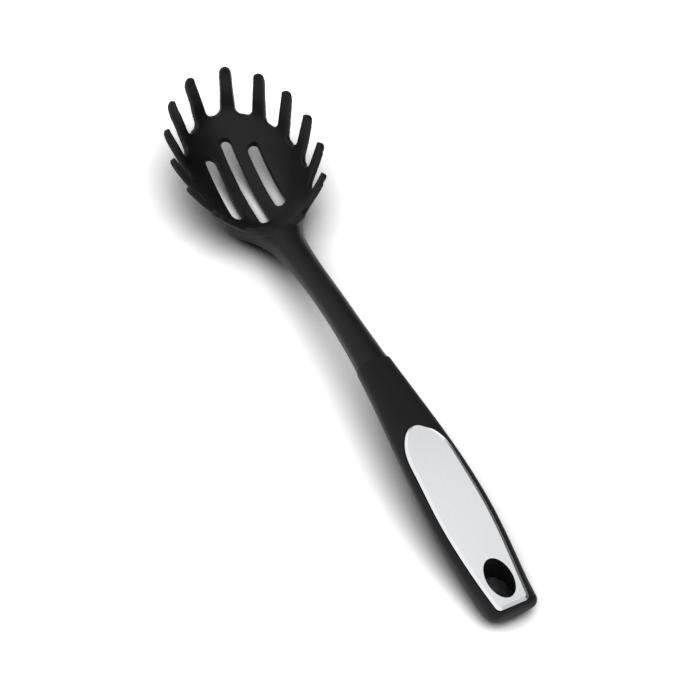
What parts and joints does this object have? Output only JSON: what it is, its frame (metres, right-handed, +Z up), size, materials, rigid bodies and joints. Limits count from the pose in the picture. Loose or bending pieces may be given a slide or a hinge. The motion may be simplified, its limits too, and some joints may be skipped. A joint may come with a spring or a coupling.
{
  "type": "pasta server",
  "caption": "Kitchen serving tool with a slotted bowl ringed by prongs, an arched shaft and a soft handle with a plated insert and a hang hole.",
  "frame": {"origin": "middle of the tool's bounding box, on the table it lies on", "axes": "+X from the handle's end to the bowl, +Y to the left seen from the handle, +Z up out of the bowl"},
  "size_m": [0.322, 0.0752, 0.0459],
  "materials": {
    "server_head": "black glass-filled nylon, satin",
    "handle_core": "black polypropylene, as moulded",
    "soft_grip": "black soft-touch elastomer, fine matt grain",
    "chrome_insert": "satin-bright chrome plate on moulded plastic"
  },
  "bodies": {
    "root": {"server_head": "server_head", "handle_core": "handle_core", "soft_grip": "soft_grip", "chrome_insert": "chrome_insert"}
  },
  "joints": []
}
